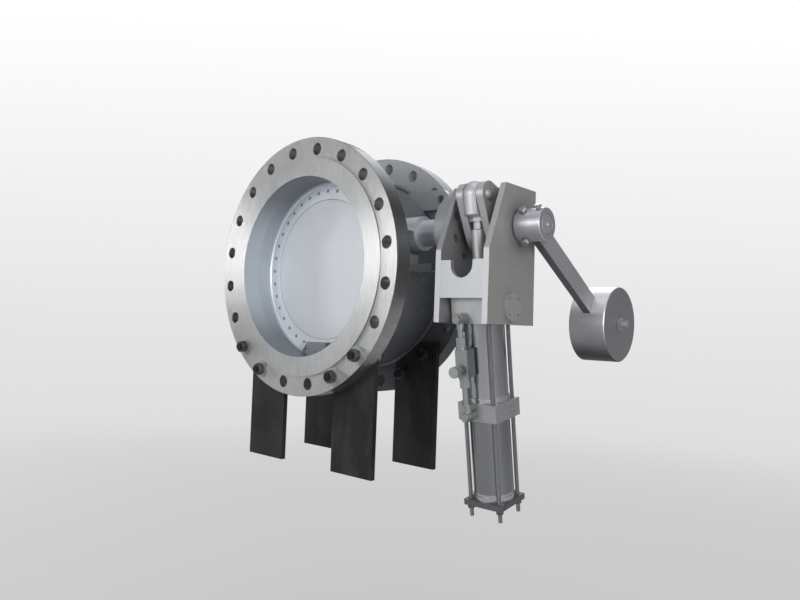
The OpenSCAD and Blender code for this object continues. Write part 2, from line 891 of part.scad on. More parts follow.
module lever_hub() {
    color("slategray") difference() {
        on_shaft(42, bracket_mid_x - cheek_gap / 2, bracket_mid_x + cheek_gap / 2);
        on_shaft(shaft_r + screw_gap / 2, lever_x0, lever_x0 + cheek_gap + 2 * cheek_t);
        key_blank(0.1);
    }
}

// Two tapered cheeks that carry the lever pin on each side of the rod eye
module lever_cheeks() {
    color("slategray") for (x = [lever_x0, bracket_mid_x + cheek_gap / 2]) {
        difference() {
            side_plate(x, cheek_t) difference() {
                link_outline([shaft_y, shaft_z], cheek_hub_r, [pin_y, pin_z], cheek_end_r);
                translate([pin_y, pin_z]) circle(r = pin_d / 2 + run_gap);
                translate([shaft_y, shaft_z]) circle(r = shaft_r + screw_gap / 2);
            }
            key_blank(0.1);
        }
    }
}

// Pin with a round domed head on its outer end
module lever_pin() {
    x0 = lever_x0 - 6;
    x1 = bracket_mid_x + cheek_gap / 2 + cheek_t;
    dome_r = (pow(pin_head_r, 2) + pow(pin_head_h, 2)) / (2 * pin_head_h);
    color("silver") translate([x0, pin_y, pin_z]) along_x() {
        rotate_extrude() polygon([
            [0, 0], [pin_d / 2 - 1, 0], [pin_d / 2, 1], [pin_d / 2, x1 - x0 + 1], [0, x1 - x0 + 1]
        ]);
        intersection() {
            translate([0, 0, x1 - x0]) cylinder(r = pin_head_r, h = pin_head_h + 1);
            translate([0, 0, x1 - x0 + pin_head_h - dome_r]) sphere(r = dome_r);
        }
    }
}

module hub_screw_places() {
    for (s = hub_set_screws) {
        translate([hub_x + s[0], shaft_y, shaft_z]) rotate([s[1], 0, 0]) rotate([-90, 0, 0]) children();
    }
}

module counterweight_hub() {
    color("darkgray") difference() {
        translate([hub_x, shaft_y, shaft_z]) along_x() rotate_extrude() polygon([
            [shaft_r + screw_gap / 2, 0], [hub_d / 2 - 1.5, 0], [hub_d / 2, 1.5],
            [hub_d / 2, hub_len - 1.5], [hub_d / 2 - 1.5, hub_len], [shaft_r + screw_gap / 2, hub_len]
        ]);
        hub_screw_places() cylinder(r = 5 + screw_gap, h = hub_d);
    }
}

module hub_screws() {
    color("silver") hub_screw_places() {
        translate([0, 0, shaft_r + 0.2]) cylinder(r = 5, h = hub_d / 2 - shaft_r + 4);
        translate([0, 0, hub_d / 2 + 3]) hex_body(17, 7);
    }
}

// The arm's own frame: it runs along +Y from the shaft's axis
module in_arm() {
    translate([0, shaft_y, shaft_z]) rotate([-arm_angle, 0, 0]) children();
}

arm_end = 26;

module counterweight_arm() {
    color("darkgray") in_arm() difference() {
        translate([arm_x, 0, -arm_w / 2]) cube([arm_t, arm_len + arm_end, arm_w]);
        translate([arm_x - 1, 0, 0]) along_x() cylinder(d = hub_d, h = arm_t + 2);
        translate([arm_x - 1, arm_len, 0]) along_x() cylinder(d = 24 + 2 * screw_gap, h = arm_t + 2);
    }
}

// Drum with a slot for the arm, open towards the shaft
module counterweight_drum() {
    slot_t = arm_t + 0.6;
    slot_w = arm_w + 0.6;
    color("darkgray") in_arm() difference() {
        translate([drum_x, arm_len, 0]) along_x() rotate_extrude() polygon([
            [0, 0], [drum_d / 2 - 2, 0], [drum_d / 2, 2],
            [drum_d / 2, drum_w - 2], [drum_d / 2 - 2, drum_w], [0, drum_w]
        ]);
        translate([drum_x + (drum_w - slot_t) / 2, arm_len - drum_d, -slot_w / 2])
            cube([slot_t, drum_d + arm_end + 0.3, slot_w]);
        translate([drum_x - 1, arm_len, 0]) along_x() cylinder(d = 24 + 2 * screw_gap, h = drum_w + 2);
    }
}

module counterweight_bolt() {
    color("silver") in_arm() translate([drum_x, arm_len, 0]) along_x() {
        translate([0, 0, -12]) hex_body(36, 12);
        cylinder(d = 24, h = drum_w + 26);
        translate([0, 0, drum_w]) hex_body(36, 14);
    }
}

module tie_places() {
    for (x = [-1, 1], y = [-1, 1]) translate([x * tie_at, y * tie_at, 0]) children();
}

// Square block with its two trunnion pins, the rod's gland on top and the tube below
module damper_head() {
    pin_end = bracket_gap / 2 + plate_t + 4;
    color("silver") in_damper() difference() {
        union() {
            translate([-block_w / 2, -head_front, head_low])
                cube([block_w, head_front + block_w / 2, head_top - head_low]);
            translate([-pin_end, 0, 0]) along_x() cylinder(d = trunnion_d, h = 2 * pin_end);
            for (s = [-1, 1]) translate([s * (block_w / 2 + 2), 0, 0]) along_x()
                cylinder(d = trunnion_d + 12, h = 4 + eps, center = true);
        }
        translate([0, 0, head_low - 1]) cylinder(r = rod_d / 2 + 1, h = 100);
        translate([0, 0, head_top - 20]) cylinder(r = gland_r, h = 21);
        tie_places() translate([0, 0, head_low - 1]) cylinder(d = damper_tie_d + 2 * screw_gap, h = 27);
        translate([upper_port.x, -head_front + 12, upper_port.y]) rotate([90, 0, 0]) cylinder(r = 7, h = 13);
    }
}

module rod_gland() {
    color("peru") in_damper() difference() {
        union() {
            translate([0, 0, head_top - 20]) cylinder(r = gland_r - screw_gap, h = 20);
            translate([0, 0, head_top]) cylinder(r = gland_head_r, h = 8);
        }
        translate([0, 0, head_top - 21]) cylinder(r = rod_d / 2 + run_gap, h = 40);
        for (a = [0, 180]) rotate(a) translate([gland_r, 0, head_top + 3]) cylinder(r = 2.5, h = 6);
    }
}

// A damper tube that hangs from z = 0, with a turned band at its lower end
module damper_tube(len) {
    translate([0, 0, -len]) rotate_extrude() polygon([
        [tube_bore / 2, 0], [tube_d / 2 + 2, 0], [tube_d / 2 + 2, band_len], [tube_d / 2, band_len + 1],
        [tube_d / 2, len], [tube_bore / 2, len]
    ]);
}

module upper_tube() {
    color("lightsteelblue") in_damper() difference() {
        translate([0, 0, head_low]) damper_tube(upper_len);
        tie_places() cylinder(d = damper_tie_d + 1, h = 1200, center = true);
    }
}

module lower_tube() {
    color("lightsteelblue") in_damper() difference() {
        translate([0, 0, mid_low]) damper_tube(lower_len);
        tie_places() cylinder(d = damper_tie_d + 1, h = 1200, center = true);
    }
}

// Block between the tubes, with a spigot in each, the lower oil port and a side plug
module middle_block() {
    color("slategray") in_damper() difference() {
        union() {
            translate([-block_w / 2, -block_w / 2, mid_low]) cube([block_w, block_w, mid_len]);
            translate([0, 0, mid_low - 6]) cylinder(d = tube_bore - 2 * screw_gap, h = mid_len + 12);
            translate([block_w / 2 - eps, 17, (mid_top + mid_low) / 2]) along_x() {
                hex_body(17, 4);
                cylinder(d = 10, h = 10);
            }
        }
        tie_places() cylinder(d = damper_tie_d + 1, h = 1200, center = true);
        translate([lower_port.x, -block_w / 2 + 12, lower_port.y]) rotate([90, 0, 0]) cylinder(r = 7, h = 13);
    }
}

module bottom_flange() {
    color("dimgray") in_damper() difference() {
        union() {
            translate([-block_w / 2, -block_w / 2, bottom_low]) cube([block_w, block_w, bottom_t]);
            translate([0, 0, bottom_low]) cylinder(d = tube_bore - 2 * screw_gap, h = bottom_t + 6);
            translate([0, 0, bottom_low - 6]) hex_body(17, 7);
        }
        tie_places() cylinder(d = damper_tie_d + 1, h = 1200, center = true);
    }
}

tie_end = -514;

module damper_tie_rods() {
    color("silver") in_damper() tie_places() translate([0, 0, tie_end])
        cylinder(d = damper_tie_d, h = head_low + 25 - tie_end);
}

module tie_rod_nuts() {
    color("gray") in_damper() tie_places() translate([0, 0, bottom_low - 9])
        hex_nut(17, 9, damper_tie_d / 2 + screw_gap);
}

// A banjo: a round eye on the damper's face, its hex bolt, and the pipe end that leaves it
module banjo(x, z, face, reach) {
    translate([x, 0, z]) {
        translate([0, -face, 0]) rotate([90, 0, 0]) {
            cylinder(d = 26, h = oil_line_y - face + 9);
            cylinder(d = 20 / cos(30), h = oil_line_y - face + 17, $fn = 6);
            translate([0, 0, -9]) cylinder(d = 13, h = 12);
        }
        translate([0, -oil_line_y, min(0, reach)]) cylinder(d = 19, h = abs(reach));
    }
}

// Upper and lower halves of the oil line, each with its collar, union nut and ring
module oil_line() {
    low_x = needle_x + 4;
    low_pipe = needle_low - 66;
    color("gray") in_damper() {
        banjo(upper_port.x, upper_port.y, head_front, -22);
        banjo(lower_port.x, lower_port.y, block_w / 2, low_pipe - lower_port.y);
        translate([needle_x, -oil_line_y, needle_high]) {
            cylinder(d = pipe_d, h = 60);
            cylinder(d = 27, h = 6);
            translate([0, 0, 6]) cylinder(d = 21 / cos(30), h = 22, $fn = 6);
        }
        translate([needle_x, -oil_line_y, -44]) cylinder(d = 20, h = 4);
        translate([low_x, -oil_line_y, low_pipe]) cylinder(d = pipe_d, h = needle_low - low_pipe);
        translate([low_x, -oil_line_y, needle_low - 6]) cylinder(d = 27, h = 6);
        translate([low_x, -oil_line_y, needle_low - 26]) cylinder(d = 23 / cos(30), h = 20, $fn = 6);
        translate([low_x, -oil_line_y, low_pipe - 3]) cylinder(d = 20, h = 5);
    }
}

knob_z = -142;

// Throttle block in the oil line, with the bonnet that the knob's stem turns in
module needle_valve() {
    color("gray") in_damper() difference() {
        union() {
            translate([needle_x - 11, -oil_line_y - 12, needle_low]) cube([34, 30, needle_high - needle_low]);
            translate([needle_x, -oil_line_y - 11, knob_z]) rotate([90, 0, 0]) cylinder(d = 16, h = 7);
        }
        translate([needle_x, -oil_line_y, knob_z]) rotate([90, 0, 0]) cylinder(r = 4 + run_gap, h = 30);
    }
}

module adjusting_knob() {
    y0 = -oil_line_y - 24;
    color("lightgray") in_damper() translate([needle_x, y0, knob_z]) rotate([90, 0, 0]) {
        translate([0, 0, -20]) cylinder(r = 4, h = 21);
        difference() {
            cylinder(d = knob_d, h = 14);
            for (a = [0 : 30 : 330]) {
                rotate(a) translate([knob_d / 2 + 1.2, 0, -1]) cylinder(d = 4, h = 16, $fn = 16);
            }
        }
    }
}

thread_low = 187;
spigot_r = 10;

module piston_rod() {
    low = piston_z - 10;
    color("silver") in_damper() translate([0, 0, low]) rotate_extrude() polygon([
        [0, 0], [spigot_r, 0], [spigot_r, 10 + piston_len], [rod_d / 2, 10 + piston_len],
        [rod_d / 2, thread_low - low - 2], [thread_r, thread_low - low],
        [thread_r, rod_end_z - low - 2], [thread_r - 2, rod_end_z - low], [0, rod_end_z - low]
    ]);
}

module piston() {
    piston_r = tube_bore / 2 - 0.3;
    color("darkgray") in_damper() translate([0, 0, piston_z]) {
        rotate_extrude() polygon([
            [spigot_r + screw_gap / 2, 0], [piston_r, 0], [piston_r, 8], [piston_r - 2.7, 8],
            [piston_r - 2.7, 14], [piston_r, 14], [piston_r, piston_len],
            [spigot_r + screw_gap / 2, piston_len]
        ]);
    }
}

module rod_lock_nut() {
    color("silver") in_damper() translate([0, 0, nut_z]) rotate(30)
        hex_nut(lock_nut_af, lock_nut_h, thread_r + screw_gap / 2);
}

// Round-topped eye with two flats; its hole leaves room for the pin's small sideways travel
module rod_eye() {
    low = nut_z + lock_nut_h;
    hole_r = pin_d / 2 + pin_travel_r + 0.4;
    color("silver") in_damper() difference() {
        intersection() {
            union() {
                translate([0, 0, rod_eye_z]) sphere(r = rod_eye_r);
                translate([0, 0, low + eye_shoulder])
                    cylinder(r = rod_eye_r, h = rod_eye_z - low - eye_shoulder);
                translate([0, 0, low])
                    cylinder(r1 = rod_eye_r - eye_shoulder, r2 = rod_eye_r, h = eye_shoulder);
            }
            translate([-eye_w / 2, -2 * rod_eye_r, 0]) cube([eye_w, 4 * rod_eye_r, 2 * rod_eye_z]);
        }
        translate([-eye_w, pin_travel_y, rod_eye_z + pin_travel_z]) along_x()
            cylinder(r = hole_r, h = 2 * eye_w);
        translate([0, 0, low - 1]) cylinder(r = thread_r + screw_gap / 2, h = rod_end_z - low + 2);
    }
}

inlet_flange();
outlet_flange();
body_shell();
seat_ring();
stop_block();
stop_bolts();
drive_neck();
neck_rib();
lifting_lug();
bracket_strut();
blind_boss();
shaft_bushes();
end_cover();
end_cover_bolts();
packing_rings();
gland_ring();
bracket_inner_plate();
bracket_outer_plate();
bracket_web();
bracket_screws();
bracket_tie_bar();
outer_shaft_bush();
trunnion_caps();
inlet_leg_left();
inlet_leg_right();
outlet_leg_left();
outlet_leg_right();
leg_studs();
leg_nuts();
leg_washers();
disc();
disc_seal();
retaining_ring();
retaining_screws();
shaft();
disc_pins();
lever_hub();
lever_cheeks();
lever_key();
lever_pin();
counterweight_hub();
hub_screws();
counterweight_arm();
counterweight_drum();
counterweight_bolt();
damper_head();
rod_gland();
upper_tube();
middle_block();
lower_tube();
bottom_flange();
damper_tie_rods();
tie_rod_nuts();
oil_line();
needle_valve();
adjusting_knob();
piston_rod();
piston();
rod_lock_nut();
rod_eye();
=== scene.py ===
import bmesh
import bpy
import math
from mathutils import Matrix, Vector


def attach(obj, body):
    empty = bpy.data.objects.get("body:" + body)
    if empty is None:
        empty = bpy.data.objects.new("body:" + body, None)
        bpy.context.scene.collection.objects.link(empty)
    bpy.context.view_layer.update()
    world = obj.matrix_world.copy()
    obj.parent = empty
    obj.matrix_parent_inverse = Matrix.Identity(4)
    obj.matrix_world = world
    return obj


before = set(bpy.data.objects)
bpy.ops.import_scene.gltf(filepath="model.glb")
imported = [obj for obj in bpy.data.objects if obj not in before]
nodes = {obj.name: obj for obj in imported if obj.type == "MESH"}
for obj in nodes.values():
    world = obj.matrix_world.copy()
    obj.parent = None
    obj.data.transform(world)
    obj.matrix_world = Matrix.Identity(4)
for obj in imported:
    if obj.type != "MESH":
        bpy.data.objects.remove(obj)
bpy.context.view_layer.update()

# The camera stands before the inlet on the lever's side, level with the counterweight's drum, and
# looks along the photograph's line of sight. Its place and angles come from the ellipses of both
# flanges.
camera_at = Vector((1.44437, -1.22759, -0.15494))
camera_yaw = 0.716697
camera_pitch = -0.038239
camera_roll = 0.036489
camera_lens = 30.591
camera_sensor = 36.0
camera_reach = 60.0
sight = Vector((-math.sin(camera_yaw) * math.cos(camera_pitch),
                math.cos(camera_yaw) * math.cos(camera_pitch),
                -math.sin(camera_pitch)))
level = Vector((math.cos(camera_yaw), math.sin(camera_yaw), 0.0))
over = level.cross(sight)
right = math.cos(camera_roll) * level + math.sin(camera_roll) * over
up = math.cos(camera_roll) * over - math.sin(camera_roll) * level
camera_data = bpy.data.cameras.new("camera")
camera_data.sensor_width = camera_sensor
camera_data.lens = camera_lens
camera_data.clip_end = camera_reach
camera = bpy.data.objects.new("camera", camera_data)
camera_turn = Matrix((right, up, -sight)).transposed().to_4x4()
camera.matrix_world = Matrix.Translation(camera_at) @ camera_turn
bpy.context.scene.collection.objects.link(camera)
bpy.context.scene.camera = camera
bpy.context.scene.view_settings.view_transform = "Standard"


# The studio is a pale floor that turns up into a pale wall. Its finish, the room and every material
# below are built with the three classes that start here: Value is one output in a node tree, Wiring
# adds nodes to a tree, and Finish is the wiring of one material.
class Value:
    """One output of a node; + - * / and ** on it add the Math nodes."""

    def __init__(self, wiring, socket):
        self.wiring = wiring
        self.socket = socket

    def _math(self, operation, first, second):
        return self.wiring.add("ShaderNodeMath", {"operation": operation}, {0: first, 1: second})

    def __add__(self, other):
        return self._math("ADD", self, other)

    def __radd__(self, other):
        return self._math("ADD", other, self)

    def __sub__(self, other):
        return self._math("SUBTRACT", self, other)

    def __rsub__(self, other):
        return self._math("SUBTRACT", other, self)

    def __mul__(self, other):
        return self._math("MULTIPLY", self, other)

    def __rmul__(self, other):
        return self._math("MULTIPLY", other, self)

    def __truediv__(self, other):
        return self._math("DIVIDE", self, other)

    def __rtruediv__(self, other):
        return self._math("DIVIDE", other, self)

    def __pow__(self, other):
        return self._math("POWER", self, other)


class Wiring:
    """A node tree; add makes any node, with its settings first and then its inputs."""

    def __init__(self, tree):
        self.tree = tree

    def feed(self, socket, value):
        if isinstance(value, Value):
            self.tree.links.new(value.socket, socket)
        elif isinstance(value, tuple) and len(value) == 3 and socket.type == "RGBA":
            socket.default_value = (*value, 1.0)
        else:
            socket.default_value = value

    def add(self, kind, settings=None, inputs=None, output=0):
        node = self.tree.nodes.new(kind)
        for name, value in (settings or {}).items():
            if name == "stops":
                for element, (at, colour) in zip(node.color_ramp.elements, value):
                    element.position = at
                    element.color = (*colour, 1.0)
            else:
                setattr(node, name, value)
        for name, value in (inputs or {}).items():
            self.feed(node.inputs[name], value)
        return Value(self, node.outputs[output])


class Finish(Wiring):
    """One material: its shader, and the patterns that several finishes share."""

    def __init__(self, name, shader="ShaderNodeBsdfPrincipled", **constants):
        self.material = bpy.data.materials.new(name)
        self.material.use_nodes = True
        super().__init__(self.material.node_tree)
        self.tree.nodes.clear()
        self.shader = self.tree.nodes.new(shader)
        self.output = self.tree.nodes.new("ShaderNodeOutputMaterial")
        self.tree.links.new(self.shader.outputs[0], self.output.inputs["Surface"])
        self.set(**constants)

    def set(self, **inputs):
        for socket, value in inputs.items():
            self.feed(self.shader.inputs[socket.replace("_", " ").title()], value)

    def place(self, stretch=(1.0, 1.0, 1.0)):
        """Object coordinates, squeezed by stretch along each axis."""
        spot = self.add("ShaderNodeTexCoord", output="Object")
        return self.add("ShaderNodeMapping", {"vector_type": "POINT"}, {"Vector": spot, "Scale": stretch})

    def noise(self, scale, detail=4.0, stretch=(1.0, 1.0, 1.0)):
        return self.add("ShaderNodeTexNoise", None, {
            "Vector": self.place(stretch), "Scale": scale, "Detail": detail, "Roughness": 0.55})

    def across(self, axis):
        """One coordinate, in metres."""
        return self.add("ShaderNodeSeparateXYZ", None, {0: self.place()}, output=axis)

    def along(self, direction):
        """How far a point lies along a slanted direction, in metres from the origin."""
        return self.add("ShaderNodeVectorMath", {"operation": "DOT_PRODUCT"},
                        {0: self.place(), 1: direction}, output="Value")

    def distance(self, centre, stretch):
        """Distance from an axis: stretch is 0 along the axis and 1 across it."""
        away = self.add("ShaderNodeVectorMath", {"operation": "SUBTRACT"}, {0: self.place(), 1: centre})
        flat = self.add("ShaderNodeVectorMath", {"operation": "MULTIPLY"}, {0: away, 1: stretch})
        return self.add("ShaderNodeVectorMath", {"operation": "LENGTH"}, {0: flat}, output="Value")

    def step(self, value, low, high):
        """0 below low, 1 above high, and smooth between."""
        return self.add("ShaderNodeMapRange", {"interpolation_type": "SMOOTHSTEP"},
                        {"Value": value, "From Min": low, "From Max": high})

    def blend(self, share, first, second):
        """A colour that goes from first to second as share goes from 0 to 1."""
        return self.add("ShaderNodeMix", {"data_type": "RGBA"}, {0: share, 6: first, 7: second}, output=2)

    def ridges(self, value, pitch):
        """A wave from 0 to 1 that repeats every pitch metres."""
        wave = self.add("ShaderNodeMath", {"operation": "SINE"}, {0: value * (2 * math.pi / pitch)})
        return wave * 0.5 + 0.5

    def bump(self, height, depth, round_edge=0.0012):
        """Feeds the shader's normal; depth is in metres for a height of 1. Edges look rounded."""
        edge = self.add("ShaderNodeBevel", {"samples": 4}, {"Radius": round_edge})
        self.set(normal=self.add("ShaderNodeBump", None, {
            "Height": height, "Distance": depth, "Strength": 1.0, "Normal": edge}))


floor_z = -1.20
floor_middle = (0.3, 0.2, floor_z)
floor_reach = 14.0
sweep_far = 9.0
sweep_bend = 3.0
sweep_steps = 12
wall_height = 9.0
floor_grey = (0.55, 0.55, 0.55)
# The backdrop's tone in steps of 255: what it nears far off, and how it falls near and grows upward
tone_far = 229.0
tone_fall = 60.0
tone_fall_from = 1.83
tone_rise = 4.17
# How much of that tone glows by itself near the valve, where the rest takes the valve's shadow
glow_near = 0.72
glow_bounds = (2.0, 6.0)
glow_in_metal = 0.2


def backdrop_finish():
    """Pale grey near the valve, lighter far off and up the wall; the object's shadow stays."""
    finish = Finish("pale_floor", shader="ShaderNodeBsdfDiffuse", color=floor_grey)
    away = finish.distance(floor_middle, (1.0, 1.0, 0.0))
    far = finish.add("ShaderNodeMath", {"operation": "MINIMUM"}, {0: away, 1: sweep_far + sweep_bend})
    rise = finish.across("Z") - floor_z
    tone = tone_far - tone_fall / (far + tone_fall_from) + rise * tone_rise
    seen = finish.add("ShaderNodeLightPath", output="Is Camera Ray")
    shine = finish.add("ShaderNodeLightPath", output="Is Glossy Ray")
    glow = finish.add("ShaderNodeEmission", None, {"Color": (tone / 255.0) ** 2.2, "Strength": 1.0})
    whole = glow_near + finish.step(away, *glow_bounds) * (1.0 - glow_near)
    both = finish.add("ShaderNodeMixShader", None, {
        0: whole * (seen + shine * glow_in_metal), 1: Value(finish, finish.shader.outputs[0]), 2: glow})
    finish.feed(finish.output.inputs["Surface"], both)
    return finish


def only(kind, geometry):
    return [part for part in geometry if isinstance(part, kind)]


def backdrop():
    """A floor sheet whose far side turns up into a wall, square to the line of sight."""
    sheet = bmesh.new()
    ahead = Vector((sight.x, sight.y, 0.0)).normalized()
    middle = Vector(floor_middle)
    near_left = sheet.verts.new(middle - ahead * floor_reach - level * floor_reach)
    near_right = sheet.verts.new(middle - ahead * floor_reach + level * floor_reach)
    near_edge = sheet.edges.new((near_left, near_right))
    laid = bmesh.ops.extrude_edge_only(sheet, edges=[near_edge])
    bmesh.ops.translate(sheet, verts=only(bmesh.types.BMVert, laid["geom"]),
                        vec=ahead * (floor_reach + sweep_far))
    bend = middle + ahead * sweep_far + Vector((0.0, 0.0, sweep_bend))
    turned = bmesh.ops.spin(sheet, geom=only(bmesh.types.BMEdge, laid["geom"]), cent=bend, axis=level,
                            angle=math.pi / 2, steps=sweep_steps)
    wall = bmesh.ops.extrude_edge_only(sheet, edges=only(bmesh.types.BMEdge, turned["geom_last"]))
    bmesh.ops.translate(sheet, verts=only(bmesh.types.BMVert, wall["geom"]), vec=(0.0, 0.0, wall_height))
    mesh = bpy.data.meshes.new("backdrop")
    sheet.to_mesh(mesh)
    sheet.free()
    for face in mesh.polygons:
        face.use_smooth = True
    mesh.materials.append(backdrop_finish().material)
    piece = bpy.data.objects.new("backdrop", mesh)
    bpy.context.scene.collection.objects.link(piece)
    return piece


backdrop()

# The light is a broad soft window on the inlet side, left of the camera, one on the lever's side,
# weaker ones round the rest, and a grey room that is lighter overhead, which the metal reflects.
lit_point = Vector((0.25, 0.2, -0.05))


def lamp(name, at, size, power, tint=(1.0, 1.0, 1.0)):
    data = bpy.data.lights.new(name, "AREA")
    data.shape = "RECTANGLE"
    data.size, data.size_y = size
    data.energy = power
    data.color = tint
    light = bpy.data.objects.new(name, data)
    turn = (lit_point - Vector(at)).to_track_quat("-Z", "Y").to_matrix().to_4x4()
    light.matrix_world = Matrix.Translation(at) @ turn
    bpy.context.scene.collection.objects.link(light)


lamp("window", at=(-0.9, -4.2, 0.7), size=(2.6, 1.4), power=60.0)
lamp("doorway", at=(-4.2, -0.9, 0.6), size=(1.8, 1.3), power=38.0, tint=(0.97, 0.98, 1.0))
lamp("roof", at=(0.3, -0.6, 3.6), size=(3.0, 2.4), power=20.0)
lamp("side", at=(3.5, -1.7, 0.5), size=(1.8, 1.4), power=62.0, tint=(1.0, 0.99, 0.97))
lamp("behind", at=(-0.8, 3.0, 2.4), size=(2.0, 1.5), power=40.0, tint=(0.95, 0.97, 1.0))

room_strength = 0.64
room_floor = (0.09, 0.094, 0.10)
room_ceiling = (0.75, 0.76, 0.78)
world = bpy.data.worlds.new("room")
world.use_nodes = True
room = Wiring(world.node_tree)
upward = room.add("ShaderNodeSeparateXYZ", None, {0: room.add("ShaderNodeTexCoord", output="Generated")},
                  output="Z")
room_grey = room.add("ShaderNodeValToRGB", {"stops": [(0.30, room_floor), (0.95, room_ceiling)]},
                     {0: upward * 0.5 + 0.5})
room_light = world.node_tree.nodes["Background"]
room.feed(room_light.inputs["Color"], room_grey)
room.feed(room_light.inputs["Strength"], room_strength)
bpy.context.scene.world = world


# Inlet flange: a forged ring, turned bright and brushed on its face, with fine turning rings. Its bore
# carries the blue-grey paint of the passage, and its rim is dark, darker towards the top.
bore_r = 0.250
rim_r = 0.3575
# Radii between which the bore's paint ends, and between which the rim's dark starts
bore_edge = (bore_r + 0.0003, bore_r + 0.0009)
rim_edge = (rim_r - 0.0012, rim_r - 0.0006)
flow_axis = (0.0, 0.0, 0.0)
across_flow = (1.0, 0.0, 1.0)
turning_pitch = 0.0011


def dress(finish, *names):
    """Gives a finish to CAD nodes that keep their own shape."""
    for name in names:
        mesh = nodes[name].data
        mesh.materials.clear()
        mesh.materials.append(finish.material)


def passage_paint(finish, cloud, middle):
    """The paint of the bore: middle at half height, and darkened towards the top and bottom with painted
    shade.
    """
    height = finish.across("Z")
    # painted shade: the bore's paint darkens towards its top and bottom
    painted_shade = finish.step(height * height + cloud * 0.01, 0.006, 0.052) * 0.75
    return finish.blend(painted_shade, middle, (0.13, 0.14, 0.16))


def turned_flange_finish():
    finish = Finish("turned_steel")
    out = finish.distance(flow_axis, across_flow)
    cloud = finish.noise(5.0, 5.0)
    fine = finish.noise(60.0, 3.0)
    brushed = finish.noise(26.0, 6.0, stretch=(7.0, 1.0, 0.7))
    painted = 1 - finish.step(out, *bore_edge)
    # The rim's dark, which grows towards the top.
    darker_upward = 0.12 + finish.step(finish.across("Z") + cloud * 0.12, 0.02, 0.24) * 0.86
    dark_rim = finish.step(out, *rim_edge) * darker_upward
    bright = finish.blend(finish.step(cloud * 0.5 + brushed * 0.5, 0.24, 0.76),
                          (0.37, 0.375, 0.375), (0.55, 0.55, 0.545))
    turned = finish.blend(dark_rim, bright, (0.035, 0.037, 0.042))
    finish.set(base_color=finish.blend(painted, turned, passage_paint(finish, cloud, (0.50, 0.545, 0.60))),
               metallic=1 - painted * 0.8 - dark_rim * 0.3,
               roughness=0.27 + cloud * 0.08 + brushed * 0.12 + painted * 0.25)
    finish.bump(finish.ridges(out, turning_pitch) * (1 - painted) + fine * 0.3, depth=0.00010)
    return finish


dress(turned_flange_finish(), "inlet_flange")

# Body shell, outlet flange, strut, blind boss and stop block: steel plate and ring, welded up under
# one coat of bluish grey metallic paint. It is uneven and dusty in spots, and its low side is darkened
# with painted shade.
passage_edge = (bore_r + 0.008, bore_r + 0.010)


def body_paint_finish(name, dark, light, painted_shade=0.45):
    """The last argument is how far the paint's low side is darkened with painted shade."""
    finish = Finish(name, metallic=0.45)
    cloud = finish.noise(4.0, 5.0)
    fine = finish.noise(90.0, 3.0)
    spots = finish.step(finish.noise(26.0, 6.0), 0.62, 0.74)
    grey = finish.blend(spots * 0.35, finish.blend(cloud, dark, light), (0.44, 0.44, 0.44))
    out = finish.distance(flow_axis, across_flow)
    passage = 1 - finish.step(out, *passage_edge)
    rim = finish.step(out, *rim_edge) * 0.7
    # painted shade: the paint darkens towards the bottom
    low = 1 - finish.step(finish.across("Z") + cloud * 0.08, -0.22, 0.16)
    coat = finish.blend(low * painted_shade, grey, (0.07, 0.074, 0.084))
    inside = finish.blend(passage, coat, passage_paint(finish, cloud, (0.46, 0.505, 0.56)))
    finish.set(base_color=finish.blend(rim, inside, (0.06, 0.063, 0.07)),
               roughness=0.42 + cloud * 0.16)
    finish.bump(fine * 0.6 + cloud, depth=0.00022)
    return finish


dress(body_paint_finish("body_paint", dark=(0.125, 0.134, 0.154), light=(0.21, 0.221, 0.244), painted_shade=0.20),
      "body_shell", "blind_boss", "end_cover", "gland_ring")
# The stop block's copy of the paint is darker all over: painted shade, low in the passage.
dress(body_paint_finish("stop_shaded_paint", dark=(0.07, 0.075, 0.085), light=(0.13, 0.135, 0.15)), "stop_block")
dress(body_paint_finish("flange_paint", dark=(0.33, 0.342, 0.365), light=(0.47, 0.482, 0.505), painted_shade=0.92),
      "outlet_flange", "bracket_strut")

# Weld beads: the seams that join the shell to its flanges, neck, strut, lug and boss, laid by hand in
# short overlapping scales and painted over with the body.
shell_r = 0.274
shaft_at = Vector((0.0, 0.175, 0.094))
scale_pitch = 0.004
scale_swell = 0.16
flange_seam_r = shell_r + 0.0042
flange_seam_y = (0.0558, 0.2942)
flange_bead_r = 0.0062
neck_seam_r = 0.046
boss_seam_r = 0.055
neck_bead_r = 0.0055
strut_y = (0.1393, 0.1873)
strut_z = (-0.008, 0.040)
lug_y = (0.278, 0.290)
lug_z = (0.180, 0.232)
strut_bead_r = 0.0045


def weld_finish():
    finish = Finish("painted_weld", metallic=0.4)
    scales = finish.noise(140.0, 3.0)
    cloud = finish.noise(8.0, 4.0)
    finish.set(base_color=finish.blend(cloud, (0.11, 0.117, 0.13), (0.20, 0.21, 0.23)),
               roughness=0.44 + scales * 0.14)
    finish.bump(scales, depth=0.0006)
    return finish


weld = weld_finish()


